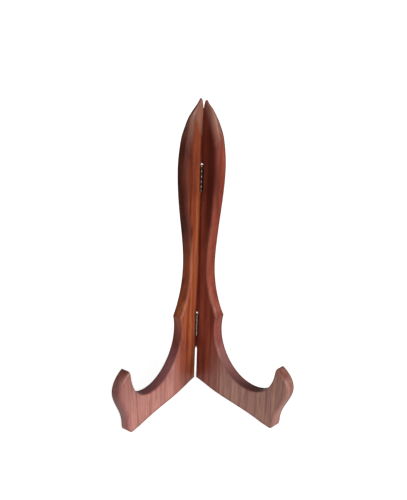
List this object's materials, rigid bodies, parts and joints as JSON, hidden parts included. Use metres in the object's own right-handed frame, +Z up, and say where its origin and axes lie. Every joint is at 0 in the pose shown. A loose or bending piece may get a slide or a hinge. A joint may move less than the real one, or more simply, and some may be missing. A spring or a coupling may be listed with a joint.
{
  "type": "plate display stand",
  "caption": "Folding wooden stand that opens as a V and holds a plate on edge: hooked feet take the rim, tall leaf-shaped uprights carry its back.",
  "frame": {"origin": "on the ground, under the middle of the opened stand's own box", "axes": "+Z up along the hinge pins, -Y towards the viewer and the plate, +X to the viewer's right; the stand is open at rest, each board half the opening angle from -Y"},
  "size_m": [0.1682, 0.102, 0.3],
  "materials": {
    "wood": "satin lacquer over oiled rosewood-brown hardwood",
    "hinge_steel": "plain pressed sheet steel, slightly dulled",
    "screw_steel": "bright steel screw heads"
  },
  "bodies": {
    "right_side": {"right_board": "wood", "upper_hinge_right_leaf": "hinge_steel", "lower_hinge_right_leaf": "hinge_steel", "upper_hinge_pin": "hinge_steel", "lower_hinge_pin": "hinge_steel", "upper_right_top_screw": "screw_steel", "upper_right_bottom_screw": "screw_steel", "lower_right_top_screw": "screw_steel", "lower_right_bottom_screw": "screw_steel"},
    "left_side": {"left_board": "wood", "upper_hinge_left_leaf": "hinge_steel", "lower_hinge_left_leaf": "hinge_steel", "upper_left_top_screw": "screw_steel", "upper_left_bottom_screw": "screw_steel", "lower_left_top_screw": "screw_steel", "lower_left_bottom_screw": "screw_steel"}
  },
  "joints": [
    {"name": "fold", "type": "hinge", "parent": "right_side", "child": "left_side", "pos_m": [0, 0.04401, 0.15], "axis": [0, 0, 1], "range_deg": [-8, 76.5]}
  ]
}
